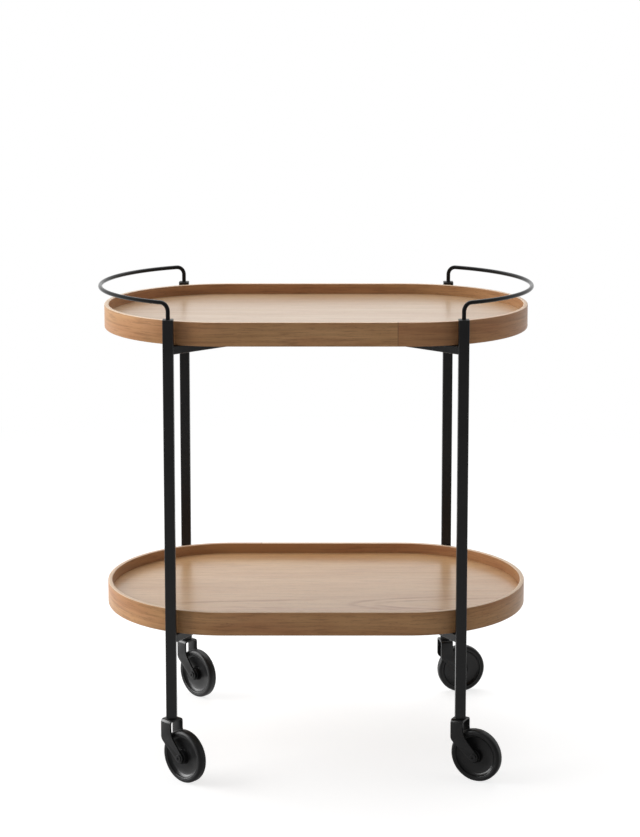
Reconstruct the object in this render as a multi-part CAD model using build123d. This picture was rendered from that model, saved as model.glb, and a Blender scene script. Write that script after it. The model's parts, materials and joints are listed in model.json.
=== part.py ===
from build123d import *
import math
import os

os.makedirs("parts", exist_ok=True)

# Serving cart: two oval oak trays between four square steel legs, a bent rod handle
# at each end and a swivel caster under each leg. Millimetres, +Z up. The origin is on
# the floor under the middle of the trays. The length runs along X, the front is at -Y.

# Trays
tray_length = 620.0
tray_width = 360.0
rim_height = 34.0
rim_wall = 6.5
rim_edge_rounding = 1.3
tray_depth = 15.5
panel_joint_gap = 0.1
lower_tray_bottom = 209.5
upper_tray_bottom = 624.0

# Legs, square tube
leg_width = 15.0
leg_wall = 1.2
leg_corner_radius = 1.5
leg_inner_corner_radius = 0.5
plug_corner_radius = 1.2
leg_above_rim = 3.5
leg_inset_from_end = 105.0
leg_rim_gap = 0.3

# Plastic plug in the top of each leg, which holds the handle
cap_plate = 1.6
cap_edge_rounding = 0.8
plug_gap = 0.1
cap_plug_depth = 14.0

# Handles, round rod
rod_diameter = 6.0
rod_seat_depth = 12.0
rod_fit_gap = 0.05
handle_rise = 23.0
handle_bend_radius = 12.0
handle_reach_past_tray = 5.5

# Steel braces under the trays
brace_height = 12.0
brace_width = 12.0
brace_edge_rounding = 1.5
lower_arm_reach = 110.0

# Wood screws that hold each tray down on its brace
screw_distance_from_leg = 70.0
screw_shank_diameter = 4.0
screw_head_diameter = 8.0
screw_head_height = 2.4
screw_head_rounding = 1.2
screw_bite = 11.0
screw_gap = 0.05
screw_recess_depth = 3.0
screw_recess_gap = 0.4
socket_cut_depth = 1.2
socket_across_corners = 3.4

# Socket in the bottom of each leg, which holds the caster stem
socket_plate = 1.5
socket_depth = 24.0

# Caster stem and its washer
stem_diameter = 8.0
stem_length_in_leg = 21.0
stem_head_diameter = 12.0
stem_head_height = 2.5
stem_head_rounding = 1.0
washer_thickness = 1.4
washer_diameter = 13.4
running_gap = 0.1

# Caster fork, bent from plate
fork_plate = 2.5
fork_outer_width = 25.0
fork_bend_radius = 5.0
fork_arm_width = 19.0
fork_eye_radius = 7.0
fork_knee_above_axle = 25.0
fork_crook_radius = 22.0
trail = 26.0
crown_above_wheel = 10.0

# Wheel
wheel_diameter = 75.0
tyre_width = 14.0
tyre_thickness = 5.5
tyre_shoulder_radius = 4.0
tyre_lip_radius = 0.5
hub_rim_thickness = 2.0
hub_rim_inset = 0.5
hub_rim_edge_radius = 0.7
hub_web_recess = 4.5
hub_root_radius = 1.5
boss_diameter = 19.0
boss_to_fork_gap = 0.6
bushing_diameter = 11.0
bushing_end_gap = 0.3

# Axle, a screw in a headed sleeve
axle_diameter = 8.0
axle_screw_diameter = 5.0
axle_screw_end_gap = 2.0
axle_head_diameter = 10.0
axle_head_height = 1.6
axle_head_rounding = 1.0

# Direction in which each wheel trails, in degrees from +X
front_left_angle = -42.0
front_right_angle = -29.0
back_left_angle = -46.0
back_right_angle = 12.0

# One overrun takes every cut through the face that it leaves.
overrun = 2.0

# Places that follow from the sizes
tray_end_radius = tray_width / 2
tray_arc_centre = tray_length / 2 - tray_end_radius
upper_tray_top = upper_tray_bottom + rim_height
panel_thickness = rim_height - tray_depth
axle_height = wheel_diameter / 2
fork_crown_bottom = wheel_diameter + crown_above_wheel
fork_top = fork_crown_bottom + fork_plate
leg_bottom = fork_top + running_gap + washer_thickness
leg_x = tray_length / 2 - leg_inset_from_end
leg_corner_from_arc = leg_x - leg_width / 2 - tray_arc_centre
leg_corner_y = math.sqrt((tray_end_radius + leg_rim_gap) ** 2 - leg_corner_from_arc**2)
leg_y = leg_corner_y + leg_width / 2
leg_top = upper_tray_top + leg_above_rim
leg_bore = leg_width - 2 * leg_wall
handle_height = leg_top + handle_rise
fork_gap_width = fork_outer_width - 2 * fork_plate
knee_height = axle_height + fork_knee_above_axle
hub_diameter = wheel_diameter - 2 * tyre_thickness
hub_rim_width = tyre_width - 2 * hub_rim_inset
hub_web_thickness = hub_rim_width - 2 * hub_web_recess

trail_angles = {
    "front_left": front_left_angle,
    "front_right": front_right_angle,
    "back_left": back_left_angle,
    "back_right": back_right_angle,
}
side_signs = {"left": -1, "right": 1}
end_signs = {"front": -1, "back": 1}


def corner_place(corner):
    """Plan position of a corner's leg."""
    end, side = corner.split("_")
    return side_signs[side] * leg_x, end_signs[end] * leg_y


corners = [f"{end}_{side}" for end in end_signs for side in side_signs]


def square_bar(width, bottom, top, corner_radius):
    """Upright square bar, rounded along its four long edges."""
    base = Pos(0, 0, bottom) * RectangleRounded(width, width, corner_radius)
    return extrude(base, amount=top - bottom)


def cylinder(radius, bottom, top):
    """Upright cylinder between two heights."""
    return extrude(Pos(0, 0, bottom) * Circle(radius), amount=top - bottom)


def edges_at_height(solid, height):
    """Edges that lie flat at one height."""
    return solid.edges().filter_by_position(Axis.Z, height, height)


# Trays


def tray_rim(bottom):
    """Bent oak strip that runs all round a tray."""
    outer = Pos(0, 0, bottom) * SlotOverall(tray_length, tray_width)
    inner = Pos(0, 0, bottom) * SlotOverall(tray_length - 2 * rim_wall, tray_width - 2 * rim_wall)
    rim = extrude(outer - inner, amount=rim_height)
    soft_edges = edges_at_height(rim, bottom) + edges_at_height(rim, bottom + rim_height)
    return fillet(soft_edges, rim_edge_rounding)


def tray_panel(bottom, screw_places):
    """Veneered board inside the rim, with a pilot hole over each screw."""
    inset = rim_wall + panel_joint_gap
    board = Pos(0, 0, bottom) * SlotOverall(tray_length - 2 * inset, tray_width - 2 * inset)
    panel = extrude(board, amount=panel_thickness)
    pilot_radius = screw_shank_diameter / 2 + screw_gap
    pilot = cylinder(pilot_radius, bottom - overrun, bottom + screw_bite + screw_gap)
    for x, y in screw_places:
        panel -= Pos(x, y, 0) * pilot
    return panel


def arm_toward(corner, target):
    """Unit vector in plan from a leg towards a point."""
    x, y = corner_place(corner)
    dx, dy = target[0] - x, target[1] - y
    length = math.hypot(dx, dy)
    return dx / length, dy / length


def screw_place(corner, target):
    """Where the screw stands on the brace arm that leaves a leg."""
    x, y = corner_place(corner)
    ux, uy = arm_toward(corner, target)
    return x + screw_distance_from_leg * ux, y + screw_distance_from_leg * uy


def plan_bar(start, end, bottom):
    """Level square bar between two points in plan, under a tray."""
    dx, dy = end[0] - start[0], end[1] - start[1]
    profile = Plane.YZ * RectangleRounded(brace_width, brace_height, brace_edge_rounding)
    bar = extrude(profile, amount=math.hypot(dx, dy))
    turn = math.degrees(math.atan2(dy, dx))
    return Pos(start[0], start[1], bottom + brace_height / 2) * Rot(0, 0, turn) * bar


def finish_brace(brace, tray_bottom, screw_places):
    """Trims a brace against the legs and drills it for the screws, with a recess for each head."""
    bottom = tray_bottom - brace_height
    leg_space = square_bar(leg_width, bottom - overrun, tray_bottom + overrun, leg_corner_radius)
    for corner in corners:
        x, y = corner_place(corner)
        brace -= Pos(x, y, 0) * leg_space
    hole = cylinder(screw_shank_diameter / 2 + screw_gap, bottom - overrun, tray_bottom + overrun)
    recess_radius = screw_head_diameter / 2 + screw_recess_gap
    hole += cylinder(recess_radius, bottom - overrun, bottom + screw_recess_depth)
    for x, y in screw_places:
        brace -= Pos(x, y, 0) * hole
    return brace


def upper_brace(screw_places):
    """Welded cross of two bars, from leg to leg through the middle."""
    bottom = upper_tray_bottom - brace_height
    brace = plan_bar(corner_place("front_left"), corner_place("back_right"), bottom)
    brace += plan_bar(corner_place("front_right"), corner_place("back_left"), bottom)
    return finish_brace(brace, upper_tray_bottom, screw_places)


def lower_brace(screw_places):
    """Welded spine with two arms at each end, one to each leg."""
    bottom = lower_tray_bottom - brace_height
    brace = plan_bar(lower_arm_target("left"), lower_arm_target("right"), bottom)
    for corner in corners:
        side = corner.split("_")[1]
        brace += plan_bar(corner_place(corner), lower_arm_target(side), bottom)
    return finish_brace(brace, lower_tray_bottom, screw_places)


def lower_arm_target(side):
    """End of the lower spine, where the arms of one side meet."""
    return side_signs[side] * (leg_x - lower_arm_reach), 0


def hex_socket():
    """Hexagonal recess that opens downwards at height zero."""
    recess = RegularPolygon(socket_across_corners / 2, 6)
    return extrude(Pos(0, 0, -overrun) * recess, amount=overrun + socket_cut_depth)


def tray_screw(tray_bottom):
    """Pan head wood screw that goes up through the brace into the board."""
    head_top = tray_bottom - brace_height + screw_recess_depth
    head_bottom = head_top - screw_head_height
    head = cylinder(screw_head_diameter / 2, head_bottom, head_top)
    head = fillet(edges_at_height(head, head_bottom), screw_head_rounding)
    shank = cylinder(screw_shank_diameter / 2, head_top, tray_bottom + screw_bite)
    return head + shank - Pos(0, 0, head_bottom) * hex_socket()


def screw_group(tray_bottom, screw_places):
    """All screws of one tray."""
    return Compound([Pos(x, y, 0) * tray_screw(tray_bottom) for x, y in screw_places])


# Legs


def leg():
    """Square tube from the caster socket to the cap."""
    bottom, top = leg_bottom + socket_plate, leg_top - cap_plate
    tube = square_bar(leg_width, bottom, top, leg_corner_radius)
    return tube - square_bar(leg_bore, bottom - overrun, top + overrun, leg_inner_corner_radius)


def leg_cap():
    """Plug and cover plate on top of a leg, bored for the handle."""
    plate_bottom = leg_top - cap_plate
    plate = square_bar(leg_width, plate_bottom, leg_top, leg_corner_radius)
    plate = fillet(edges_at_height(plate, leg_top), cap_edge_rounding)
    plug_width = leg_bore - 2 * plug_gap
    plug = square_bar(plug_width, plate_bottom - cap_plug_depth, plate_bottom, plug_corner_radius)
    bore_radius = rod_diameter / 2 + rod_fit_gap
    bore = cylinder(bore_radius, plate_bottom - cap_plug_depth - overrun, leg_top + overrun)
    return plate + plug - bore


def caster_socket():
    """Plug and cover plate in the bottom of a leg, bored for the caster stem."""
    plate_top = leg_bottom + socket_plate
    plate = square_bar(leg_width, leg_bottom, plate_top, leg_corner_radius)
    plug_width = leg_bore - 2 * plug_gap
    plug = square_bar(plug_width, plate_top, leg_bottom + socket_depth, plug_corner_radius)
    bore_radius = stem_diameter / 2 + rod_fit_gap
    bore = cylinder(bore_radius, leg_bottom - overrun, leg_bottom + socket_depth + overrun)
    return plate + plug - bore


# Handles


def handle():
    """Right handle: a rod up from each leg, bent over into an arc round the tray's end."""
    reach = tray_length / 2 + handle_reach_past_tray
    bend = handle_bend_radius
    past_legs = reach - leg_x
    arc_centre = (reach**2 + bend**2 - leg_x**2 - leg_y**2) / (2 * past_legs)
    arc_radius = reach - arc_centre
    leg_angle = math.atan2(leg_y, leg_x - arc_centre)
    arc_angle = leg_angle - math.atan2(bend, arc_radius)
    arc_x = arc_centre + arc_radius * math.cos(arc_angle)
    arc_y = arc_radius * math.sin(arc_angle)
    ease = 1 - math.sqrt(0.5)
    mid_x = leg_x + (arc_x - leg_x) * ease
    mid_y = leg_y + (arc_y - leg_y) * ease
    rod_bottom = leg_top - rod_seat_depth
    bend_bottom = handle_height - bend
    mid_height = handle_height - bend * ease

    foot_line = Edge.make_line((leg_x, -leg_y, rod_bottom), (leg_x, -leg_y, bend_bottom))
    front_bend = Edge.make_three_point_arc(
        (leg_x, -leg_y, bend_bottom),
        (mid_x, -mid_y, mid_height),
        (arc_x, -arc_y, handle_height),
    )
    end_arc = Edge.make_three_point_arc(
        (arc_x, -arc_y, handle_height),
        (reach, 0, handle_height),
        (arc_x, arc_y, handle_height),
    )
    back_bend = Edge.make_three_point_arc(
        (arc_x, arc_y, handle_height),
        (mid_x, mid_y, mid_height),
        (leg_x, leg_y, bend_bottom),
    )
    back_line = Edge.make_line((leg_x, leg_y, bend_bottom), (leg_x, leg_y, rod_bottom))
    path = Wire([foot_line, front_bend, end_arc, back_bend, back_line])
    section = Pos(leg_x, -leg_y, rod_bottom) * Circle(rod_diameter / 2)
    return sweep(section, path=path)


# Casters, each built with its stem on the Z axis and its wheel trailing along +X


def caster_stem():
    """Pin that turns in the fork and sits fast in the leg, with a formed head below."""
    head_top = fork_crown_bottom - running_gap
    head_bottom = head_top - stem_head_height
    head = cylinder(stem_head_diameter / 2, head_bottom, head_top)
    head = fillet(edges_at_height(head, head_bottom), stem_head_rounding)
    return head + cylinder(stem_diameter / 2, head_top, leg_bottom + stem_length_in_leg)


def swivel_washer():
    """Plastic washer between the leg and the fork."""
    ring = cylinder(washer_diameter / 2, leg_bottom - washer_thickness, leg_bottom)
    bore_radius = stem_diameter / 2 + rod_fit_gap
    return ring - cylinder(bore_radius, leg_bottom - washer_thickness - overrun, leg_bottom + overrun)


def fork_side_outline():
    """Side view of a fork arm: straight down, then swept back and drawn in to the axle's eye."""
    arm_radius = fork_arm_width / 2
    upper = Pos(0, (fork_top + knee_height) / 2) * Rectangle(fork_arm_width, fork_top - knee_height)
    knee = Pos(0, knee_height) * Circle(arm_radius)
    eye = Pos(trail, axle_height) * Circle(fork_eye_radius)
    outline = upper + make_hull(knee.edges() + eye.edges())
    crook = outline.vertices().sort_by_distance((arm_radius, knee_height + arm_radius / 2))[0]
    return fillet(crook, fork_crook_radius)


def fork():
    """One bent plate: a crown on the stem and two arms down to the axle."""
    crown_height = fork_top - axle_height + fork_arm_width
    outer = Rectangle(fork_outer_width, crown_height, align=(Align.CENTER, Align.MAX))
    outer = fillet(outer.vertices().group_by(Axis.Y)[-1], fork_bend_radius)
    gap_height = crown_height - fork_plate + overrun
    gap = Rectangle(fork_gap_width, gap_height, align=(Align.CENTER, Align.MAX))
    gap = fillet(gap.vertices().group_by(Axis.Y)[-1], fork_bend_radius - fork_plate)
    channel_profile = Plane.YZ * (Pos(0, fork_top) * (outer - Pos(0, -fork_plate) * gap))
    channel = extrude(channel_profile, amount=trail + fork_arm_width, both=True)
    sides = extrude(Plane.XZ * fork_side_outline(), amount=fork_outer_width, both=True)
    stem_bore = cylinder(stem_diameter / 2 + running_gap, fork_crown_bottom - overrun, fork_top + overrun)
    axle_bore = axle_cylinder(axle_diameter / 2 + rod_fit_gap, fork_outer_width + 2 * overrun)
    return (channel & sides) - stem_bore - axle_bore


def axle_cylinder(radius, length):
    """Cylinder centred on the axle."""
    disc = Plane.XZ * Circle(radius)
    return Pos(trail, 0, axle_height) * extrude(disc, amount=length / 2, both=True)


def turned_ring(profile):
    """Turns a profile, radius along X and width along Y, about the axle."""
    return Pos(trail, 0, axle_height) * revolve(profile, Axis.Y)


def ring_profile(inner_radius, outer_radius, width):
    """Rectangle between two radii, centred on the wheel."""
    middle = (inner_radius + outer_radius) / 2
    return Pos(middle, 0) * Rectangle(outer_radius - inner_radius, width)


def corners_off_middle(profile, distance):
    """Corners of a profile that lie at one distance from the wheel's middle plane."""
    return [v for v in profile.vertices() if math.isclose(abs(v.Y), distance, rel_tol=1e-6)]


def tyre():
    """Soft tyre with round shoulders and a lip round the hub's face."""
    profile = ring_profile(hub_diameter / 2, wheel_diameter / 2, tyre_width)
    by_radius = profile.vertices().group_by(Axis.X)
    profile = fillet(by_radius[-1], tyre_shoulder_radius)
    lips = profile.vertices().group_by(Axis.X)[0]
    return turned_ring(fillet(lips, tyre_lip_radius))


def wheel_hub():
    """Moulded wheel: a rim under the tyre, a thin web and a boss at the middle."""
    boss_width = fork_gap_width - 2 * boss_to_fork_gap
    rim_inner_radius = hub_diameter / 2 - hub_rim_thickness
    rim = ring_profile(rim_inner_radius, hub_diameter / 2, hub_rim_width)
    web = ring_profile(bushing_diameter / 2, hub_diameter / 2, hub_web_thickness)
    boss = ring_profile(bushing_diameter / 2, boss_diameter / 2, boss_width)
    profile = rim + web + boss
    profile = fillet(corners_off_middle(profile, hub_web_thickness / 2), hub_root_radius)
    rim_edges = corners_off_middle(profile, hub_rim_width / 2)
    inner_edges = [v for v in rim_edges if v.X < (rim_inner_radius + hub_diameter / 2) / 2]
    return turned_ring(fillet(inner_edges, hub_rim_edge_radius))


def wheel_bushing():
    """Plastic sleeve in the hub, which turns on the axle."""
    length = fork_gap_width - 2 * bushing_end_gap
    return turned_ring(ring_profile(axle_diameter / 2 + running_gap, bushing_diameter / 2, length))


def axle_head(sign):
    """Low round head of the axle on one side of the fork, with its hexagonal recess."""
    head = extrude(Circle(axle_head_diameter / 2), amount=axle_head_height)
    head = fillet(edges_at_height(head, axle_head_height), axle_head_rounding)
    head -= Pos(0, 0, axle_head_height) * Rot(180, 0, 0) * hex_socket()
    outward = Plane(origin=(trail, sign * fork_outer_width / 2, axle_height), z_dir=(0, sign, 0))
    return outward * head


def axle_sleeve():
    """Headed sleeve through the fork and the wheel."""
    sleeve = axle_cylinder(axle_diameter / 2, fork_outer_width) + axle_head(-1)
    bore_depth = fork_outer_width - axle_screw_end_gap
    bore = axle_cylinder(axle_screw_diameter / 2 + screw_gap, 2 * bore_depth)
    return sleeve - Pos(0, fork_outer_width / 2, 0) * bore


def axle_screw():
    """Screw that closes the sleeve from the other side."""
    length = fork_outer_width - 2 * axle_screw_end_gap
    shank = axle_cylinder(axle_screw_diameter / 2, length)
    return Pos(0, fork_outer_width / 2 - length / 2, 0) * shank + axle_head(1)


caster_pieces = {
    "caster_stem": caster_stem,
    "swivel_washer": swivel_washer,
    "caster_fork": fork,
    "axle_sleeve": axle_sleeve,
    "axle_screw": axle_screw,
    "wheel_hub": wheel_hub,
    "wheel_bushing": wheel_bushing,
    "tyre": tyre,
}
leg_pieces = {
    "leg": leg,
    "leg_cap": leg_cap,
    "caster_socket": caster_socket,
}

upper_screw_places = [screw_place(corner, (0, 0)) for corner in corners]
lower_screw_places = [screw_place(c, lower_arm_target(c.split("_")[1])) for c in corners]

pieces = {
    "upper_tray_rim": tray_rim(upper_tray_bottom),
    "upper_tray_panel": tray_panel(upper_tray_bottom, upper_screw_places),
    "upper_tray_brace": upper_brace(upper_screw_places),
    "upper_tray_screws": screw_group(upper_tray_bottom, upper_screw_places),
    "lower_tray_rim": tray_rim(lower_tray_bottom),
    "lower_tray_panel": tray_panel(lower_tray_bottom, lower_screw_places),
    "lower_tray_brace": lower_brace(lower_screw_places),
    "lower_tray_screws": screw_group(lower_tray_bottom, lower_screw_places),
    "right_handle": handle(),
    "left_handle": handle().mirror(Plane.YZ),
}

for name, make in leg_pieces.items():
    upright = make()
    for corner in corners:
        x, y = corner_place(corner)
        pieces[f"{corner}_{name}"] = Pos(x, y, 0) * upright

for name, make in caster_pieces.items():
    straight = make()
    for corner in corners:
        x, y = corner_place(corner)
        pieces[f"{corner}_{name}"] = Pos(x, y, 0) * Rot(0, 0, trail_angles[corner]) * straight

for name, shape in pieces.items():
    export_step(shape, f"parts/{name}.step")
    print(name, round(shape.volume))
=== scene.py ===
import json
import math

import bmesh
import bpy
from mathutils import Matrix, Vector


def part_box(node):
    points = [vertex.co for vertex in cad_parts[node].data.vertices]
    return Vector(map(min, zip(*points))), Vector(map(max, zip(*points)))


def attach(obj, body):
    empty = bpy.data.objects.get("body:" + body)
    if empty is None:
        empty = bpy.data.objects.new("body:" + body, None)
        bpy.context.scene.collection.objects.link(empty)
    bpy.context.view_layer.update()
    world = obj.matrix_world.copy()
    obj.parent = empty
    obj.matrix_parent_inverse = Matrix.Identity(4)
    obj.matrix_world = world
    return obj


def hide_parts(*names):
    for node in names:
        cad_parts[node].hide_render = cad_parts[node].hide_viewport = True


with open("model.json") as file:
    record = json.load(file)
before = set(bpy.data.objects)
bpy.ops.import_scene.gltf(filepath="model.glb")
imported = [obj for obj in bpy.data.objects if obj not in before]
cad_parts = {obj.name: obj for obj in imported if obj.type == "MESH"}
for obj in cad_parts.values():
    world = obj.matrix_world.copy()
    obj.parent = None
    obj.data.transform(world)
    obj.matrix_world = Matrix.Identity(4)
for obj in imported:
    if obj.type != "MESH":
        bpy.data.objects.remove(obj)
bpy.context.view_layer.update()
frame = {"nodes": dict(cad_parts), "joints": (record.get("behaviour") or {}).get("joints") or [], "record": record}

# Serving cart: two oval oak trays, four square steel legs, two rod handles, four casters.
# Metres, Z up, front at -Y.

corners = ["front_left", "front_right", "back_left", "back_right"]
joints = {joint["name"]: joint for joint in frame["joints"]}
whiteLight = (1.0, 1.0, 1.0, 1.0)
print("frame loaded with", len(frame["nodes"]), "nodes")


# Camera

camera = {
    "place": (0.0026, -2.9951, 1.1443),
    "pitchDegrees": 7.819,
    "lens": 88.87,
    "shift": (0.0026, -0.2),
}


def addCamera():
    data = bpy.data.cameras.new("camera")
    data.lens = camera["lens"]
    data.shift_x, data.shift_y = camera["shift"]
    made = bpy.data.objects.new("camera", data)
    made.location = camera["place"]
    made.rotation_euler = (math.radians(90 - camera["pitchDegrees"]), 0, 0)
    bpy.context.scene.collection.objects.link(made)
    bpy.context.scene.camera = made


# Node helpers


def addNode(tree, kind, inputs=None, **settings):
    made = tree.nodes.new("ShaderNode" + kind)
    for key, value in settings.items():
        setattr(made, key, value)
    for key, value in (inputs or {}).items():
        if isinstance(value, bpy.types.NodeSocket):
            tree.links.new(value, made.inputs[key])
        else:
            made.inputs[key].default_value = value
    return made


def calc(tree, operation, *values, clamp=False):
    inputs = dict(enumerate(values))
    return addNode(tree, "Math", inputs, operation=operation, use_clamp=clamp).outputs[0]


def mixTones(tree, share, first, second, blend="MIX"):
    inputs = {0: share, 6: first, 7: second}
    made = addNode(tree, "Mix", inputs, data_type="RGBA", blend_type=blend)
    return made.outputs[2]


def remap(tree, value, low, high, newLow=0.0, newHigh=1.0, smooth=False):
    kind = "SMOOTHSTEP" if smooth else "LINEAR"
    inputs = {0: value, 1: low, 2: high, 3: newLow, 4: newHigh}
    return addNode(tree, "MapRange", inputs, interpolation_type=kind).outputs[0]


def stretchedNoise(tree, place, scale, detail, roughness=0.5, offset=(0, 0, 0)):
    mapped = addNode(tree, "Mapping", {0: place, 1: offset, 3: scale}).outputs[0]
    inputs = {"Vector": mapped, "Scale": 1.0, "Detail": detail, "Roughness": roughness}
    return addNode(tree, "TexNoise", inputs).outputs[0]


def startMaterial(name):
    material = bpy.data.materials.new(name)
    material.use_nodes = True
    tree = material.node_tree
    tree.nodes.clear()
    output = addNode(tree, "OutputMaterial")
    surface = addNode(tree, "BsdfPrincipled")
    tree.links.new(surface.outputs[0], output.inputs[0])
    return material, tree, surface


def setSurface(tree, surface, **inputs):
    for key, value in inputs.items():
        socket = surface.inputs[key]
        if isinstance(value, bpy.types.NodeSocket):
            tree.links.new(value, socket)
        else:
            socket.default_value = value


def bumpFrom(tree, height, distance, strength):
    inputs = {"Height": height, "Distance": distance, "Strength": strength}
    return addNode(tree, "Bump", inputs).outputs[0]


def vary(tree, noise, reach, middle=0.0):
    # Noise runs from 0 to 1, so this swings it about the middle
    return calc(tree, "MULTIPLY_ADD", noise, reach, middle - reach / 2)


# Studio

studio = {
    "floorRadius": 3.2,
    "floorSteps": 96,
    "whiteFrom": 1.1,
    "whiteBy": 2.2,
    "floorTone": 0.45,
    "floorLift": 0.75,
    "ambient": 0.20,
    "dimSide": 0.28,
    "dimFrom": -0.6,
    "dimBy": 0.45,
    "lamps": {
        "keyLamp": {"place": (-2.5, -0.02, 1.1), "size": 2.2, "watts": 68.0, "glossy": False},
        "glintLamp": {"place": (-2.5, 0.12, 1.1), "size": 2.2, "watts": 165.0, "glossy": True},
        "topLamp": {"place": (0.0, 1.0, 2.6), "size": 2.4, "watts": 38.5, "glossy": True},
        "fillLamp": {"place": (2.4, -0.6, 1.2), "size": 1.6, "watts": 7.0, "glossy": False},
        "frontLamp": {"place": (-0.5, -3.4, 1.5), "size": 2.4, "watts": 7.0, "glossy": False},
    },
    "aimHeight": 0.45,
}
# The forks, discs and tyres, which alone show glintLamp
glintPieces = bpy.data.collections.new("glintPieces")


def seenShare(tree):
    path = addNode(tree, "LightPath")
    share = calc(tree, "ADD", path.outputs["Is Camera Ray"], path.outputs["Is Glossy Ray"])
    return calc(tree, "ADD", share, path.outputs["Is Transmission Ray"], clamp=True)


def dimTowardFront(tree, toward):
    # In gloss the studio's open front side is darker
    dimSide, dimFrom, dimBy = studio["dimSide"], studio["dimFrom"], studio["dimBy"]
    dimmed = remap(tree, toward, dimFrom, dimBy, dimSide, 1.0, smooth=True)
    glossy = addNode(tree, "LightPath").outputs["Is Glossy Ray"]
    return remap(tree, glossy, 0.0, 1.0, 1.0, dimmed)


def lightWorld():
    world = bpy.data.worlds.new("studioWorld")
    bpy.context.scene.world = world
    world.use_nodes = True
    tree = world.node_tree
    tree.nodes.clear()
    toward = addNode(tree, "SeparateXYZ", {0: addNode(tree, "TexCoord").outputs["Generated"]}).outputs[1]
    seen = addNode(tree, "Background", {"Color": whiteLight, "Strength": dimTowardFront(tree, toward)})
    lit = addNode(tree, "Background", {"Color": whiteLight, "Strength": studio["ambient"]})
    both = addNode(tree, "MixShader", {0: seenShare(tree), 1: lit.outputs[0], 2: seen.outputs[0]})
    addNode(tree, "OutputWorld", {0: both.outputs[0]})


def layFloor():
    bpy.ops.object.select_all(action="DESELECT")
    bpy.ops.mesh.primitive_circle_add(
        vertices=studio["floorSteps"], radius=studio["floorRadius"], fill_type="NGON"
    )
    floor = bpy.context.object
    floor.name = "studioFloor"
    material, tree, surface = startMaterial("paleFloor")
    tree.nodes.remove(surface)
    tone = studio["floorTone"]
    matte = addNode(tree, "BsdfDiffuse", {"Color": (tone, tone, tone, 1)})
    place = addNode(tree, "TexCoord").outputs["Object"]
    raised = {0: place, 1: (0, 0, studio["aimHeight"])}
    fromCart = addNode(tree, "VectorMath", raised, operation="ADD").outputs[0]
    fromCart = addNode(tree, "VectorMath", {0: fromCart}, operation="NORMALIZE").outputs[0]
    strength = dimTowardFront(tree, addNode(tree, "SeparateXYZ", {0: fromCart}).outputs[1])
    liftStrength = calc(tree, "MULTIPLY", strength, studio["floorLift"])
    lift = addNode(tree, "Emission", {"Color": whiteLight, "Strength": liftStrength})
    white = addNode(tree, "Emission", {"Color": whiteLight, "Strength": strength})
    near = addNode(tree, "AddShader", {0: matte.outputs[0], 1: lift.outputs[0]})
    reach = addNode(tree, "VectorMath", {0: place}, operation="LENGTH").outputs["Value"]
    far = remap(tree, reach, studio["whiteFrom"], studio["whiteBy"], smooth=True)
    seen = addNode(tree, "MixShader", {0: far, 1: near.outputs[0], 2: white.outputs[0]})
    inputs = {0: seenShare(tree), 1: matte.outputs[0], 2: seen.outputs[0]}
    both = addNode(tree, "MixShader", inputs)
    output = next(node for node in tree.nodes if node.type == "OUTPUT_MATERIAL")
    tree.links.new(both.outputs[0], output.inputs[0])
    floor.data.materials.append(material)


def hangLamps():
    aim = Vector((0, 0, studio["aimHeight"]))
    for name, look in studio["lamps"].items():
        data = bpy.data.lights.new(name, "AREA")
        data.size = look["size"]
        data.energy = look["watts"]
        lamp = bpy.data.objects.new(name, data)
        lamp.location = look["place"]
        lamp.visible_glossy = look["glossy"]
        if name == "glintLamp":
            lamp.visible_diffuse = False
            lamp.light_linking.receiver_collection = glintPieces
        lamp.rotation_euler = (aim - lamp.location).to_track_quat("-Z", "Y").to_euler()
        bpy.context.scene.collection.objects.link(lamp)


# Finishes

# Tray rims: sizes of their strip, and the marks that their finish puts along it, among them a painted highlight on
# the top edge and painted shade on the inner face.
# A seam lies at X "at" times "turn", which is 1 in front and -1 behind.
rim = {
    "wall": 0.0065,
    "edgeRounding": 0.0013,
    "roundingSteps": 4,
    "levelDegrees": 45,
    "bendSteps": 64,
    "seamGap": 0.00006,
    "seamWidth": 0.0013,
    "seamDark": 0.6,
    "roseReach": 0.45,
    "roseStart": 0.34,
    "edgeHighlightShare": 0.75,
    "innerPaintedShade": (0.84, 0.82, 0.82, 1),
    "evenReach": 0.14,
    "evenTone": (0.47, 0.235, 0.10, 1),
    "seams": {
        "upper": {"at": 0.1137, "turn": 1},
        "lower": {"at": 0.086, "turn": -1},
    },
}

oakBoard = {
    "paleTone": (0.62, 0.43, 0.255, 1),
    "warmTone": (0.49, 0.30, 0.15, 1),
    "roseTone": (0.47, 0.245, 0.125, 1),
    "lineTone": (0.16, 0.068, 0.026, 1),
    "poreTone": (0.16, 0.08, 0.035, 1),
    "edgeToneAndHighlight": (0.90, 0.72, 0.54, 1),
    "ringSpacing": 0.0046,
    "lineStart": 0.58,
    "lineStrength": 0.3,
    "patchSize": (5.0, 22.0, 22.0),
    "fleckStrength": 0.22,
    "fleckSize": (22.0, 380.0, 380.0),
    "roseShare": 0.25,
    # Painted warm bounce light on the lower board
    "lowerPaintedBounce": (1.115, 1.03, 0.895, 1),
    "heartSlope": 0.0,
    "heartEnd": 0.30,
    "heartLine": -0.094,
    "roughness": 0.36,
    "specular": 0.5,
    "ior": 1.5,
    "lacquer": 0.7,
    "lacquerRoughness": 0.24,
    "source": "Object",
}

oakRim = dict(
    oakBoard,
    paleTone=(0.68, 0.385, 0.185, 1),
    warmTone=(0.42, 0.21, 0.085, 1),
    roseTone=(0.42, 0.165, 0.075, 1),
    lineTone=(0.17, 0.075, 0.03, 1),
    ringSpacing=0.0074,
    lineStart=0.3,
    lineStrength=0.45,
    patchSize=(11.0, 60.0, 60.0),
    fleckStrength=0.34,
    fleckSize=(24.0, 330.0, 330.0),
    roseShare=0.5,
    heartSlope=0.05,
    heartEnd=1.1,
    heartLine=0.06,
    roughness=0.42,
    specular=0.22,
    lacquer=0.12,
    lacquerRoughness=0.3,
    source="UV",
)

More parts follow.
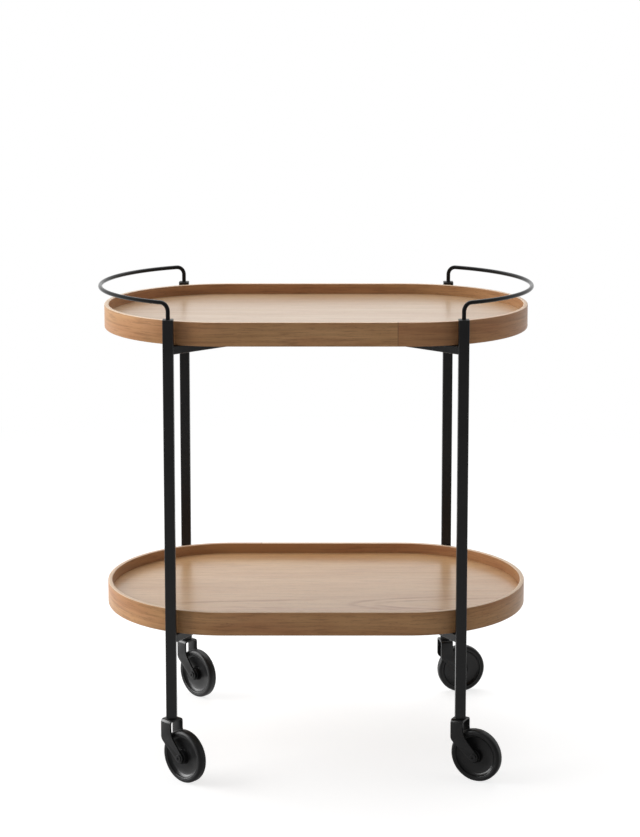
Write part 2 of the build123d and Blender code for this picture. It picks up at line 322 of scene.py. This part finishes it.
# What both oak finishes share. Noise is stretched along the grain, on the first axis,
# and patch and fleck take their scale from the finish.
woodNoise = {
    "wander": {"scale": (1.6, 6.0, 6.0), "detail": 3.0},
    "ripple": {"scale": (14.0, 60.0, 60.0), "detail": 2.0, "offset": (3.1, 0, 0)},
    "gaps": {"scale": (24.0, 90.0, 90.0), "detail": 2.0, "offset": (5.3, 0, 0)},
    "streak": {"scale": (4.0, 150.0, 150.0), "detail": 5.0, "roughness": 0.62},
    "broad": {"scale": (3.0, 16.0, 16.0), "detail": 4.0, "roughness": 0.6, "offset": (1.9, 0, 0)},
    "rose": {"scale": (6.0, 30.0, 30.0), "detail": 3.0, "offset": (4.4, 0, 0)},
    "pores": {"scale": (130.0, 2300.0, 2300.0), "detail": 1.0},
    "patch": {"detail": 2.0, "offset": (7.7, 0, 0)},
    "fleck": {"detail": 3.0, "roughness": 0.6},
}

wood = {
    "driftReach": 0.02,
    "shakeReach": 0.0036,
    "lineFull": 0.86,
    "lineFades": 0.90,
    "patchRange": (0.42, 0.60),
    "patchLeast": 0.1,
    "fleckRange": (0.52, 0.64),
    "poreRange": (0.62, 0.72),
    "poreShare": 0.3,
    "latePoreShare": 0.5,
    "roseRange": (0.42, 0.66),
    "broadReach": 2.2,
    "streakReach": 1.3,
    "toneStart": -1.3,
    "glossReach": 0.10,
    "poreDepth": 1.4,
    "bumpHeight": 0.00006,
    "bumpStrength": 0.6,
}

# The pointed figures in the lower board. Each line is a parabola whose tip lies at X "tip" and Y "line".
# It opens toward +X or -X and shows from one distance behind its tip to another.
figureKeys = ("tip", "toward", "line", "spread", "half", "from", "to", "strength")
figureLines = [
    (0.052, 1, -0.0935, 0.0100, 0.0060, -0.03, 0.16, 0.85),
    (0.088, 1, -0.0945, 0.0058, 0.0060, -0.03, 0.20, 0.85),
    (0.135, 1, -0.0940, 0.0020, 0.0036, -0.02, 0.14, 0.3),
    (-0.350, 1, -0.1165, 0.0055, 0.0065, 0.13, 0.40, 0.85),
    (-0.045, -1, -0.1125, 0.0004, 0.0046, -0.02, 0.11, 0.6),
]

figure = {
    "lowerBelow": 0.4,
    "tone": (0.30, 0.115, 0.012, 1),
    "rippleReach": 0.006,
    "wanderReach": 0.012,
    "fade": 0.05,
    "tipReach": 0.035,
    "tipWidth": 1.7,
    "gapRange": (0.36, 0.56),
    "leastShown": 0.3,
}


def woodPattern(tree, place, kind, **more):
    return stretchedNoise(tree, place, **woodNoise[kind], **more)


def ringLines(tree, radius, look):
    turns = calc(tree, "DIVIDE", radius, look["ringSpacing"])
    ringPart = calc(tree, "FRACT", turns)
    rise = remap(tree, ringPart, look["lineStart"], wood["lineFull"], smooth=True)
    fall = remap(tree, ringPart, wood["lineFades"], 1.0, 1.0, 0.0)
    ringNumber = addNode(tree, "CombineXYZ", {0: calc(tree, "FLOOR", turns)}).outputs[0]
    chance = addNode(tree, "TexWhiteNoise", {0: ringNumber}, noise_dimensions="3D").outputs[0]
    return calc(tree, "MULTIPLY", rise, fall), chance


def drawFigureLine(tree, apart, bent, line):
    across = calc(tree, "ADD", calc(tree, "SUBTRACT", apart[1], line["line"]), bent)
    inward = calc(tree, "MULTIPLY", calc(tree, "SUBTRACT", apart[0], line["tip"]), line["toward"])
    bulge = calc(tree, "DIVIDE", calc(tree, "MULTIPLY", across, across), line["spread"])
    slant = calc(tree, "MULTIPLY", across, 2 / line["spread"])
    steep = calc(tree, "SQRT", calc(tree, "MULTIPLY_ADD", slant, slant, 1.0))
    past = calc(tree, "ABSOLUTE", calc(tree, "SUBTRACT", bulge, inward))
    offLine = calc(tree, "DIVIDE", past, steep)
    tipHalf = figure["tipWidth"] * line["half"]
    half = remap(tree, inward, 0.0, figure["tipReach"], tipHalf, line["half"])
    dark = remap(tree, offLine, 0.0, half, line["strength"], 0.0, smooth=True)
    begun = remap(tree, inward, line["from"], line["from"] + figure["fade"])
    ended = remap(tree, inward, line["to"] - figure["fade"], line["to"], 1.0, 0.0)
    return calc(tree, "MULTIPLY", dark, calc(tree, "MULTIPLY", begun, ended))


def drawFigure(tree, place, apart):
    wander = vary(tree, woodPattern(tree, place, "wander"), figure["wanderReach"])
    ripple = vary(tree, woodPattern(tree, place, "ripple"), figure["rippleReach"])
    bent = calc(tree, "ADD", ripple, wander)
    shown = 0.0
    for row in figureLines:
        dark = drawFigureLine(tree, apart, bent, dict(zip(figureKeys, row)))
        shown = calc(tree, "MAXIMUM", shown, dark)
    gaps = woodPattern(tree, place, "gaps")
    broken = remap(tree, gaps, *figure["gapRange"], figure["leastShown"], 1.0)
    return calc(tree, "MULTIPLY", shown, broken)


def growthLines(tree, place, apart, look):
    drift = vary(tree, woodPattern(tree, place, "wander"), wood["driftReach"])
    shake = vary(tree, woodPattern(tree, place, "ripple"), wood["shakeReach"])
    alongGrain = calc(tree, "SUBTRACT", look["heartEnd"], apart[0])
    depth = calc(tree, "MULTIPLY_ADD", alongGrain, look["heartSlope"], drift)
    across = calc(tree, "SUBTRACT", apart[1], look["heartLine"])
    across = calc(tree, "ADD", calc(tree, "ADD", across, drift), shake)
    square = calc(tree, "MULTIPLY", depth, depth)
    radius = calc(tree, "SQRT", calc(tree, "MULTIPLY_ADD", across, across, square))
    lateWood, ringChance = ringLines(tree, radius, look)
    patch = woodPattern(tree, place, "patch", scale=look["patchSize"])
    patchy = remap(tree, patch, *wood["patchRange"], wood["patchLeast"], 1.0)
    shown = calc(tree, "MULTIPLY", calc(tree, "MULTIPLY", ringChance, patchy), look["lineStrength"])
    lines = calc(tree, "MULTIPLY", lateWood, shown, clamp=True)
    return lateWood, lines


def rimEdges(tree, apart, colour, look):
    low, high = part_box("upper_tray_rim")
    height, wall = high.z - low.z, rim["wall"]
    straight, radius = high.x - high.y, high.y - wall / 2
    stripLength = 4 * straight + 2 * math.pi * radius
    edge = rim["edgeRounding"] / 2
    # The top edge is a lighter sanded edge plus a painted highlight
    begun = remap(tree, apart[1], height - edge, height)
    ended = remap(tree, apart[1], height + wall, height + wall + edge, 1.0, 0.0)
    top = calc(tree, "MULTIPLY", calc(tree, "MULTIPLY", begun, ended), rim["edgeHighlightShare"])
    colour = mixTones(tree, top, colour, look["edgeToneAndHighlight"])
    inner = remap(tree, apart[1], height + wall, height + wall + edge)
    # The joint shows on the outer face only, so the grain of the inner face evens out towards it
    fromEnd = calc(tree, "MINIMUM", apart[0], calc(tree, "SUBTRACT", stripLength, apart[0]))
    even = remap(tree, fromEnd, 0.0, rim["evenReach"], 1.0, 0.0, smooth=True)
    colour = mixTones(tree, calc(tree, "MULTIPLY", even, inner), colour, rim["evenTone"])
    # Painted shade darkens the inner face
    colour = mixTones(tree, inner, colour, rim["innerPaintedShade"], "MULTIPLY")
    first = remap(tree, apart[0], 0.0, rim["seamWidth"], 1.0, 0.0)
    last = remap(tree, apart[0], stripLength - rim["seamWidth"], stripLength)
    outer = calc(tree, "SUBTRACT", 1.0, inner)
    seam = calc(tree, "MULTIPLY", calc(tree, "MAXIMUM", first, last), rim["seamDark"])
    colour = mixTones(tree, calc(tree, "MULTIPLY", seam, outer), colour, look["poreTone"])
    fresh = remap(tree, apart[0], 0.0, rim["roseReach"], rim["roseStart"], 0.0)
    return mixTones(tree, calc(tree, "MULTIPLY", fresh, outer), colour, look["roseTone"])


def woodColour(tree, place, streak, lines, pores, look):
    broad = woodPattern(tree, place, "broad")
    rose = woodPattern(tree, place, "rose")
    fleck = woodPattern(tree, place, "fleck", scale=look["fleckSize"])
    flecks = calc(tree, "MULTIPLY", remap(tree, fleck, *wood["fleckRange"]), look["fleckStrength"])
    tone = calc(tree, "MULTIPLY_ADD", streak, wood["streakReach"], wood["toneStart"])
    tone = calc(tree, "MULTIPLY_ADD", broad, wood["broadReach"], tone)
    tone = calc(tree, "ADD", tone, 0.0, clamp=True)
    colour = mixTones(tree, tone, look["paleTone"], look["warmTone"])
    blush = calc(tree, "MULTIPLY", remap(tree, rose, *wood["roseRange"]), look["roseShare"])
    colour = mixTones(tree, blush, colour, look["roseTone"])
    colour = mixTones(tree, calc(tree, "MAXIMUM", lines, flecks), colour, look["lineTone"])
    return mixTones(tree, pores, colour, look["poreTone"])


def oakFinish(name, look):
    material, tree, surface = startMaterial(name)
    place = addNode(tree, "TexCoord").outputs[look["source"]]
    apart = addNode(tree, "SeparateXYZ", {0: place}).outputs
    lateWood, lines = growthLines(tree, place, apart, look)
    streak = woodPattern(tree, place, "streak")
    poreShare = calc(tree, "MULTIPLY_ADD", lateWood, wood["latePoreShare"], wood["poreShare"])
    pores = remap(tree, woodPattern(tree, place, "pores"), *wood["poreRange"])
    pores = calc(tree, "MULTIPLY", pores, poreShare)
    colour = woodColour(tree, place, streak, lines, pores, look)
    if look["source"] == "UV":
        colour = rimEdges(tree, apart, colour, look)
    else:
        lower = calc(tree, "LESS_THAN", apart[2], figure["lowerBelow"])
        shown = calc(tree, "MULTIPLY", drawFigure(tree, place, apart), lower)
        colour = mixTones(tree, shown, colour, figure["tone"])
        # Painted warm bounce light: the lower board is tinted warmer and lighter
        colour = mixTones(tree, lower, colour, look["lowerPaintedBounce"], "MULTIPLY")
    height = calc(tree, "SUBTRACT", streak, calc(tree, "MULTIPLY", pores, wood["poreDepth"]))
    setSurface(tree, surface, **{
        "Base Color": colour,
        "Roughness": vary(tree, streak, wood["glossReach"], look["roughness"]),
        "Normal": bumpFrom(tree, height, wood["bumpHeight"], wood["bumpStrength"]),
        "Specular IOR Level": look["specular"],
        "IOR": look["ior"],
        "Coat Weight": look["lacquer"],
        "Coat Roughness": look["lacquerRoughness"],
    })
    return material


# Coatings, plastics, tyre and zinc

powderCoat = {
    "tone": (0.0062, 0.0062, 0.0065, 1),
    "roughness": 0.36,
    "specular": 0.42,
    "grainScale": 1100.0,
    "grainHeight": 0.000035,
}

rodCoat = dict(powderCoat, roughness=0.13, specular=0.16, grainHeight=0.00001)

forkCoat = dict(powderCoat, roughness=0.3, specular=0.34)

mouldedCap = {
    "tone": (0.010, 0.010, 0.010, 1),
    "roughness": 0.5,
    "specular": 0.35,
    "grainScale": 2600.0,
    "grainHeight": 0.00002,
}

# Its boss reflects less than the rest, a painted shade where the boss lies in shadow
mouldedHub = {
    "tone": (0.0075, 0.0075, 0.0078, 1),
    "roughness": 0.3,
    "specular": 0.32,
    "grainScale": 2200.0,
    "grainHeight": 0.000015,
    "paintedShadePart": "boss",
}

softTyre = {
    "tone": (0.0075, 0.0075, 0.0078, 1),
    "roughness": 0.42,
    "specular": 0.25,
    "grainScale": 1700.0,
    "grainHeight": 0.00002,
}

blackZinc = {
    "tone": (0.014, 0.014, 0.0145, 1),
    "roughness": 0.36,
    "specular": 0.3,
    "grainScale": 1500.0,
    "grainHeight": 0.00001,
    "metallic": 0.25,
}

# What all dark finishes share
mottle = {
    "cloudScale": 22.0,
    "cloudDetail": 4.0,
    "cloudRange": (0.35, 0.7),
    "grainDetail": 2.0,
    "lighterBy": 1.7,
    "dustRange": (0.55, 0.8),
    "dustShare": 0.25,
    "glossReach": 0.14,
    "paintedShadeShare": 0.25,
    "bumpStrength": 0.5,
}


def darkFinish(name, look):
    material, tree, surface = startMaterial(name)
    place = addNode(tree, "TexCoord").outputs["Object"]
    fine = {"Vector": place, "Scale": look["grainScale"], "Detail": mottle["grainDetail"]}
    grain = addNode(tree, "TexNoise", fine).outputs[0]
    coarse = {"Vector": place, "Scale": mottle["cloudScale"], "Detail": mottle["cloudDetail"]}
    cloud = addNode(tree, "TexNoise", coarse).outputs[0]
    lighter = tuple(mottle["lighterBy"] * part for part in look["tone"][:3]) + (1,)
    colour = mixTones(tree, remap(tree, cloud, *mottle["cloudRange"]), look["tone"], lighter)
    dust = calc(tree, "MULTIPLY", remap(tree, grain, *mottle["dustRange"]), mottle["dustShare"])
    specular = look["specular"]
    if look.get("paintedShadePart"):
        # Painted shade: the boss reflects less, so that it looks shaded
        dark = addNode(tree, "Attribute", attribute_name=look["paintedShadePart"]).outputs["Fac"]
        specular = remap(tree, dark, 0.0, 1.0, specular, mottle["paintedShadeShare"] * specular)
    setSurface(tree, surface, **{
        "Base Color": mixTones(tree, dust, colour, lighter),
        "Roughness": vary(tree, cloud, mottle["glossReach"], look["roughness"]),
        "Metallic": look.get("metallic", 0.0),
        "Specular IOR Level": specular,
        "Normal": bumpFrom(tree, grain, look["grainHeight"], mottle["bumpStrength"]),
    })
    return material


def dress(piece, material):
    piece.data.materials.clear()
    piece.data.materials.append(material)


finishes = {
    "oak_board": oakFinish("oakBoard", oakBoard),
    "oak_rim": oakFinish("oakRim", oakRim),
    "black_steel": darkFinish("powderCoat", powderCoat),
    "black_plastic": darkFinish("mouldedCap", mouldedCap),
    "grey_plastic": darkFinish("mouldedHub", mouldedHub),
    "grey_tyre": darkFinish("softTyre", softTyre),
    "zinc_steel": darkFinish("blackZinc", blackZinc),
}
nodeSlots = {part["node"]: part["material_slot"] for part in frame["record"]["subparts"]}
for nodeName, node in frame["nodes"].items():
    dress(node, finishes[nodeSlots[nodeName]])
rodFinish = darkFinish("rodCoat", rodCoat)
forkFinish = darkFinish("forkCoat", forkCoat)
for side in ("left", "right"):
    dress(frame["nodes"][f"{side}_handle"], rodFinish)
print("finishes made")


# Modelling helpers

modelling = {
    "mergeGap": 0.000002,
    "smoothDegrees": 40,
}


def pick(kind, test):
    bpy.ops.mesh.select_mode(type=kind)
    bpy.ops.mesh.select_all(action="DESELECT")
    mesh = bmesh.from_edit_mesh(bpy.context.object.data)
    parts = {"VERT": mesh.verts, "EDGE": mesh.edges, "FACE": mesh.faces}[kind]
    for part in parts:
        if test(part):
            part.select_set(True)
    mesh.select_flush_mode()
    bmesh.update_edit_mesh(bpy.context.object.data)


def sectionPlane(name, place, size, turn=(0, 0, 0)):
    bpy.ops.object.select_all(action="DESELECT")
    bpy.ops.mesh.primitive_plane_add(size=1, location=place, rotation=turn)
    piece = bpy.context.object
    piece.name = name
    piece.scale = (size[0], size[1], 1)
    bpy.ops.object.transform_apply(location=True, rotation=True, scale=True)
    bpy.ops.object.mode_set(mode="EDIT")
    bpy.ops.mesh.select_all(action="SELECT")
    return piece


def finishMesh():
    bpy.ops.mesh.select_all(action="SELECT")
    bpy.ops.mesh.remove_doubles(threshold=modelling["mergeGap"])
    bpy.ops.mesh.normals_make_consistent(inside=False)
    bpy.ops.object.mode_set(mode="OBJECT")
    bpy.ops.object.shade_smooth_by_angle(angle=math.radians(modelling["smoothDegrees"]))


# Tray rims, one bent strip each, butted end to end at a seam


def slideSection(distance):
    bpy.ops.mesh.extrude_region_move(TRANSFORM_OT_translate={"value": (distance, 0, 0)})


def bendSection(centre):
    bpy.ops.mesh.spin(
        steps=rim["bendSteps"], angle=-math.pi, center=(centre, 0, 0), axis=(0, 0, 1)
    )


def measureAlong(x, y, middleX, strip):
    straight, radius, seam = strip["straight"], strip["radius"], strip["seam"]
    first = straight - seam
    bend = math.pi * radius
    if x > straight:
        return first + radius * (math.atan2(y, x - straight) + math.pi / 2)
    if x < -straight:
        turned = math.pi / 2 - math.atan2(y, -(x + straight))
        return first + bend + 2 * straight + radius * turned
    if y > 0:
        return first + bend + straight - x
    lap = 0 if middleX > seam else 2 * bend + 4 * straight
    return lap + x - seam


def measureAcross(z, outward, normal, facesOut, strip):
    height, wall = strip["top"] - strip["bottom"], rim["wall"]
    level = math.cos(math.radians(rim["levelDegrees"]))
    if normal.z > level:
        return height + wall / 2 - outward
    if normal.z < -level:
        return 2 * height + wall + outward + wall / 2
    if facesOut:
        return z - strip["bottom"]
    return height + wall + strip["top"] - z


def unrollStrip(piece, strip):
    layer = piece.data.uv_layers.active
    vertices, loops = piece.data.vertices, piece.data.loops
    for polygon in piece.data.polygons:
        middle, normal = polygon.center * strip["turn"], polygon.normal
        pastEnd = max(-strip["straight"], min(strip["straight"], middle.x))
        side = Vector((middle.x - pastEnd, middle.y)).dot(normal.xy) * strip["turn"]
        for index in polygon.loop_indices:
            point = vertices[loops[index].vertex_index].co
            x, y = point.x * strip["turn"], point.y * strip["turn"]
            overhang = max(0, abs(x) - strip["straight"])
            outward = math.hypot(overhang, y) - strip["radius"]
            along = measureAlong(x, y, middle.x, strip)
            across = measureAcross(point.z, outward, normal, side > 0, strip)
            layer.data[index].uv = (along, across)


def bendRim(tray):
    low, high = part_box(f"{tray}_tray_rim")
    seam = rim["seams"][tray]
    turn = seam["turn"]
    radius = high.y - rim["wall"] / 2
    straight = high.x - high.y
    height = high.z - low.z
    place = (turn * seam["at"], -turn * radius, (low.z + high.z) / 2)
    piece = sectionPlane(f"{tray}_rim_strip", place, (height, rim["wall"]), (0, math.pi / 2, 0))
    bpy.ops.mesh.bevel(
        offset=rim["edgeRounding"], segments=rim["roundingSteps"], affect="VERTICES"
    )
    slideSection(turn * (straight - seam["at"]))
    bendSection(turn * straight)
    slideSection(-turn * 2 * straight)
    bendSection(-turn * straight)
    slideSection(turn * (straight + seam["at"] - rim["seamGap"]))
    finishMesh()
    strip = {
        "straight": straight,
        "radius": radius,
        "seam": seam["at"],
        "turn": turn,
        "bottom": low.z,
        "top": high.z,
    }
    unrollStrip(piece, strip)
    dress(piece, finishes["oak_rim"])
    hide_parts(f"{tray}_tray_rim")
    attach(piece, "frame")


for tray in rim["seams"]:
    bendRim(tray)
print("rims bent")


# Wheels, modelled once with the stem on the Z axis and the axle behind it on +X.
# The recess wall's profile lies between a flat slope (0.25) and a round (0.5).

wheel = {
    "steps": 96,
    "tyreThickness": 0.0055,
    "tyreHalfWidth": 0.007,
    "shoulder": 0.004,
    "shoulderSteps": 6,
    "lip": 0.0005,
    "lipSteps": 2,
    "rimWall": 0.002,
    "rimHalfWidth": 0.0065,
    "rimEdge": 0.0009,
    "rimEdgeSteps": 4,
    "webHalfWidth": 0.002,
    "root": 0.0015,
    "rootSteps": 4,
    "dish": 0.0036,
    "dishSteps": 8,
    "dishProfile": 0.33,
    "bossRadius": 0.0095,
    "bossHalfWidth": 0.0094,
    "bossEdge": 0.0006,
    "bossEdgeSteps": 3,
    "bore": 0.0055,
    "ringTolerance": 0.00005,
    "sideFacing": 0.9,
}


def casterPlace(corner):
    stem = Vector(joints[f"{corner}_swivel"]["pos_m"])
    axle = Vector(joints[f"{corner}_wheel_spin"]["pos_m"])
    reach = (axle - stem).xy
    turned = Matrix.Rotation(math.atan2(reach.y, reach.x), 4, "Z")
    return Matrix.Translation((stem.x, stem.y, 0)) @ turned, reach.length, axle.z


def turnTyre(trail, axleHeight):
    low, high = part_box(f"{corners[0]}_tyre")
    outerRadius = (high.z - low.z) / 2
    middle = outerRadius - wheel["tyreThickness"] / 2
    size = (wheel["tyreThickness"], 2 * wheel["tyreHalfWidth"])
    piece = sectionPlane("tyre_model", (trail + middle, 0, axleHeight), size)
    pick("VERT", lambda vert: vert.co.x > trail + middle)
    bpy.ops.mesh.bevel(offset=wheel["shoulder"], segments=wheel["shoulderSteps"], affect="VERTICES")
    inner = trail + outerRadius - wheel["tyreThickness"] + wheel["lip"] / 2
    pick("VERT", lambda vert: vert.co.x < inner)
    bpy.ops.mesh.bevel(offset=wheel["lip"], segments=wheel["lipSteps"], affect="VERTICES")
    bpy.ops.mesh.select_all(action="SELECT")
    bpy.ops.mesh.delete(type="ONLY_FACE")
    bpy.ops.mesh.select_all(action="SELECT")
    bpy.ops.mesh.spin(
        steps=wheel["steps"], angle=2 * math.pi, center=(trail, 0, axleHeight), axis=(0, 1, 0)
    )
    finishMesh()
    return piece


def bevelRing(axle, radius, halfWidth, kind, profile=0.5):
    def onRing(part):
        spots = [vert.co - axle for vert in part.verts]
        apart = [abs(spot.xz.length - radius) for spot in spots]
        apart += [abs(abs(spot.y) - halfWidth) for spot in spots]
        return max(apart) < wheel["ringTolerance"]

    pick("EDGE", onRing)
    segments = wheel[kind + "Steps"]
    bpy.ops.mesh.bevel(offset=wheel[kind], segments=segments, profile=profile, affect="EDGES")


def turnHub(trail, axleHeight):
    low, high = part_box(f"{corners[0]}_wheel_hub")
    hubRadius = (high.z - low.z) / 2
    bpy.ops.object.select_all(action="DESELECT")
    bpy.ops.mesh.primitive_cylinder_add(
        vertices=wheel["steps"],
        radius=hubRadius,
        depth=2 * wheel["rimHalfWidth"],
        location=(trail, 0, axleHeight),
        rotation=(math.pi / 2, 0, 0),
    )
    piece = bpy.context.object
    piece.name = "hub_model"
    bpy.ops.object.transform_apply(location=True, rotation=True, scale=True)
    bpy.ops.object.mode_set(mode="EDIT")
    rimInner = hubRadius - wheel["rimWall"]
    sunk = wheel["rimHalfWidth"] - wheel["webHalfWidth"]
    proud = wheel["bossHalfWidth"] - wheel["webHalfWidth"]
    for side in (-1, 1):
        pick("FACE", lambda face: face.normal.y * side > wheel["sideFacing"])
        bpy.ops.mesh.inset(thickness=wheel["rimWall"])
        bpy.ops.mesh.extrude_region_move(TRANSFORM_OT_translate={"value": (0, -side * sunk, 0)})
        bpy.ops.mesh.inset(thickness=rimInner - wheel["bossRadius"])
        bpy.ops.mesh.extrude_region_move(TRANSFORM_OT_translate={"value": (0, side * proud, 0)})
        bpy.ops.mesh.inset(thickness=wheel["bossRadius"] - wheel["bore"])
        bpy.ops.mesh.delete(type="ONLY_FACE")
    pick("EDGE", lambda edge: edge.is_boundary)
    bpy.ops.mesh.bridge_edge_loops()
    axle = Vector((trail, 0, axleHeight))
    bevelRing(axle, wheel["bossRadius"], wheel["bossHalfWidth"], "bossEdge")
    bevelRing(axle, wheel["bossRadius"], wheel["webHalfWidth"], "root")
    bevelRing(axle, rimInner, wheel["webHalfWidth"], "dish", wheel["dishProfile"])
    bevelRing(axle, rimInner, wheel["rimHalfWidth"], "rimEdge")
    finishMesh()
    boss = piece.data.attributes.new("boss", "FLOAT", "FACE")
    for polygon in piece.data.polygons:
        fromAxle = (polygon.center - axle).xz.length
        boss.data[polygon.index].value = float(fromAxle < wheel["bossRadius"] + wheel["root"])
    return piece


def setWheelPieces():
    trail, axleHeight = casterPlace(corners[0])[1:]
    models = {
        "tyre": (turnTyre(trail, axleHeight), "grey_tyre"),
        "wheel_hub": (turnHub(trail, axleHeight), "grey_plastic"),
    }
    for kind, (model, slot) in models.items():
        for corner in corners:
            mesh = model.data.copy()
            mesh.transform(casterPlace(corner)[0])
            piece = bpy.data.objects.new(f"{corner}_{kind}_turned", mesh)
            bpy.context.scene.collection.objects.link(piece)
            glintPieces.objects.link(piece)
            dress(piece, finishes[slot])
            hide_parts(f"{corner}_{kind}")
            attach(piece, f"{corner}_wheel")
        bpy.data.objects.remove(model)


setWheelPieces()
print("wheels turned")


# Forks: each bent plate with its cut edges broken

fork = {
    "flatDegrees": 0.4,
    "edgeBreak": 0.00045,
    "edgeSteps": 2,
    "cornerDegrees": 50,
    "smoothDegrees": 30,
}


def softenFork(corner):
    bpy.ops.object.select_all(action="DESELECT")
    node = frame["nodes"][f"{corner}_caster_fork"]
    piece = bpy.data.objects.new(f"{corner}_fork_plate", node.data.copy())
    bpy.context.scene.collection.objects.link(piece)
    glintPieces.objects.link(piece)
    bpy.context.view_layer.objects.active = piece
    piece.select_set(True)
    bpy.ops.object.mode_set(mode="EDIT")
    bpy.ops.mesh.select_all(action="SELECT")
    bpy.ops.mesh.remove_doubles(threshold=modelling["mergeGap"])
    bpy.ops.mesh.dissolve_limited(angle_limit=math.radians(fork["flatDegrees"]))
    bpy.ops.object.mode_set(mode="OBJECT")
    bevel = piece.modifiers.new("edges", "BEVEL")
    bevel.width = fork["edgeBreak"]
    bevel.segments = fork["edgeSteps"]
    bevel.limit_method = "ANGLE"
    bevel.angle_limit = math.radians(fork["cornerDegrees"])
    bpy.ops.object.modifier_apply(modifier="edges")
    bpy.ops.object.shade_smooth_by_angle(angle=math.radians(fork["smoothDegrees"]))
    dress(piece, forkFinish)
    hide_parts(f"{corner}_caster_fork")
    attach(piece, f"{corner}_caster")


for corner in corners:
    softenFork(corner)
print("forks softened")


# Scene

addCamera()
lightWorld()
layFloor()
hangLamps()
print("studio ready")

bpy.context.scene.view_settings.view_transform = "Standard"
